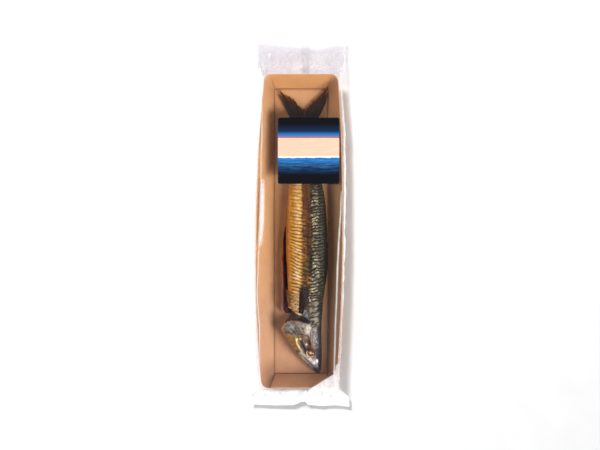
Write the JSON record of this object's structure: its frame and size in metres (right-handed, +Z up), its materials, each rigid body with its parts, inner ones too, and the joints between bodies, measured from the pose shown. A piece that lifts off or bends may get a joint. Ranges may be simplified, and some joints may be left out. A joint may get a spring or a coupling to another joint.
{
  "type": "packed smoked mackerel",
  "caption": "Whole smoked mackerel lying on its side in a folded kraft-board tray, inside a clear film sleeve sealed at both ends, with a plain banded label on top.",
  "frame": {"origin": "under the middle of the pack, on the surface it lies on: the bottom centre of its bounding box", "axes": "+Y along the pack from the fish's head to its tail, +X towards the fish's back, +Z up towards the label"},
  "size_m": [0.1122, 0.413, 0.041],
  "materials": {
    "fish": "glossy, wrinkled smoked skin: gold flank, dark banded back",
    "board": "uncoated brown kraft board",
    "film": "clear glossy wrapping film",
    "label": "coated paper in plain bands of navy, blue and peach"
  },
  "bodies": {
    "root": {"tray": "board", "mackerel": "fish", "film_sleeve": "film", "label": "label"}
  },
  "joints": []
}
